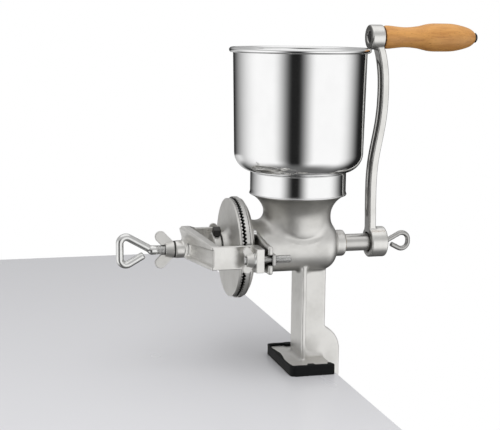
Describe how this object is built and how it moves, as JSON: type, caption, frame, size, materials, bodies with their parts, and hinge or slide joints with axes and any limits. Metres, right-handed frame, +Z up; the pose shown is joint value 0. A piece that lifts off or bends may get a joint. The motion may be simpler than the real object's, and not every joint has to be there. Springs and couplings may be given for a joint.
{
  "type": "hand grain mill",
  "caption": "Table-clamped cast hand grain mill with a polished steel hopper, toothed grinding discs, a screw-adjusted yoke and a crank with a turned wooden grip.",
  "frame": {"origin": "on the underside of the foot's rubber boot, under the hopper's axis, where the mill stands on the table top", "axes": "+Z up along the hopper's axis, +X along the drive shaft towards the crank, -Y towards the side that the picture shows"},
  "size_m": [0.4029, 0.165, 0.5025],
  "materials": {
    "tinned_iron": "cast iron with a satin tinned skin, slightly rough from the mould",
    "burr_iron": "hard cast iron with cut grinding teeth",
    "shaft_steel": "turned steel, worn bright",
    "zinc_steel": "zinc plated steel",
    "dark_steel": "blackened steel",
    "bronze": "plain turned bronze",
    "polished_steel": "mirror polished stainless steel",
    "black_rubber": "soft black moulded rubber",
    "grip_wood": "turned light hardwood, oiled, fine grain along the grip"
  },
  "bodies": {
    "frame": {"body_casting": "tinned_iron", "rear_bushing": "bronze", "foot_boot": "black_rubber", "fixed_burr": "burr_iron", "burr_screws": "zinc_steel", "yoke": "tinned_iron", "yoke_bolts": "zinc_steel", "rear_nuts": "zinc_steel"},
    "hopper": {"hopper_bowl": "polished_steel", "hopper_collar": "polished_steel"},
    "thrust": {"thrust_ball": "zinc_steel"},
    "shaft": {"drive_shaft": "shaft_steel", "burr_carrier": "tinned_iron", "moving_burr": "burr_iron", "drive_pins": "zinc_steel", "shaft_collar": "tinned_iron", "collar_set_screw": "dark_steel", "crank_arm": "tinned_iron", "handle_bolt": "dark_steel", "handle_nut": "dark_steel", "handle_washer": "zinc_steel"},
    "grip": {"handle_grip": "grip_wood"},
    "crank_screw": {"crank_screw": "zinc_steel"},
    "adjusting_screw": {"adjusting_screw": "zinc_steel"},
    "lock_washer": {"lock_washer": "dark_steel"},
    "lock_nut": {"lock_nut": "tinned_iron"},
    "yoke_washer_near": {"yoke_washer_near": "zinc_steel"},
    "wing_nut_near": {"wing_nut_near": "tinned_iron"},
    "yoke_washer_far": {"yoke_washer_far": "zinc_steel"},
    "wing_nut_far": {"wing_nut_far": "tinned_iron"},
    "clamp_pad": {"clamp_pad": "tinned_iron"},
    "clamp_screw": {"clamp_screw": "zinc_steel"}
  },
  "joints": [
    {"name": "hopper_lift", "type": "slide", "parent": "frame", "child": "hopper", "axis": [0, 0, 1], "range_m": [0, 0.04]},
    {"name": "burr_gap", "type": "slide", "parent": "frame", "child": "thrust", "axis": [-1, 0, 0], "range_m": [0, 0.001]},
    {"name": "shaft_turn", "type": "hinge", "parent": "thrust", "child": "shaft", "pos_m": [0, 0, 0.135], "axis": [1, 0, 0], "continuous": true},
    {"name": "grip_turn", "type": "hinge", "parent": "shaft", "child": "grip", "pos_m": [0.0941, 0, 0.3602], "axis": [1, 0, 0], "continuous": true},
    {"name": "crank_screw_turn", "type": "hinge", "parent": "shaft", "child": "crank_screw", "pos_m": [0.101, 0, 0.135], "axis": [1, 0, 0], "range_deg": [0, 90]},
    {"name": "screw_turn", "type": "hinge", "parent": "thrust", "child": "adjusting_screw", "pos_m": [-0.161, 0, 0.135], "axis": [-1, 0, 0], "range_deg": [0, 240.5]},
    {"name": "lock_washer_travel", "type": "slide", "parent": "frame", "child": "lock_washer", "axis": [-1, 0, 0], "range_m": [0, 0.004]},
    {"name": "lock_nut_turn", "type": "hinge", "parent": "lock_washer", "child": "lock_nut", "pos_m": [-0.1364, 0, 0.135], "axis": [-1, 0, 0], "range_deg": [0, 960.5]},
    {"name": "washer_travel_near", "type": "slide", "parent": "frame", "child": "yoke_washer_near", "axis": [-1, 0, 0], "range_m": [0, 0.006]},
    {"name": "wing_nut_turn_near", "type": "hinge", "parent": "yoke_washer_near", "child": "wing_nut_near", "pos_m": [-0.0682, -0.0745, 0.135], "axis": [-1, 0, 0], "range_deg": [0, 1728.5]},
    {"name": "washer_travel_far", "type": "slide", "parent": "frame", "child": "yoke_washer_far", "axis": [-1, 0, 0], "range_m": [0, 0.006]},
    {"name": "wing_nut_turn_far", "type": "hinge", "parent": "yoke_washer_far", "child": "wing_nut_far", "pos_m": [-0.0682, 0.0745, 0.135], "axis": [-1, 0, 0], "range_deg": [0, 1728.5]},
    {"name": "clamp_travel", "type": "slide", "parent": "frame", "child": "clamp_pad", "axis": [0, 0, 1], "range_m": [-0.018, 0.017]},
    {"name": "clamp_screw_turn", "type": "hinge", "parent": "clamp_pad", "child": "clamp_screw", "pos_m": [0.006, 0, -0.025], "axis": [0, 0, 1], "range_deg": [-3703.36, 3497.64]}
  ],
  "couplings": [
    {"joint": "screw_turn", "follows": "burr_gap", "rad_per_m": 4188.8},
    {"joint": "lock_nut_turn", "follows": "lock_washer_travel", "rad_per_m": 4188.8},
    {"joint": "wing_nut_turn_near", "follows": "washer_travel_near", "rad_per_m": 5026.5},
    {"joint": "wing_nut_turn_far", "follows": "washer_travel_far", "rad_per_m": 5026.5},
    {"joint": "clamp_screw_turn", "follows": "clamp_travel", "rad_per_m": 3590.4}
  ]
}
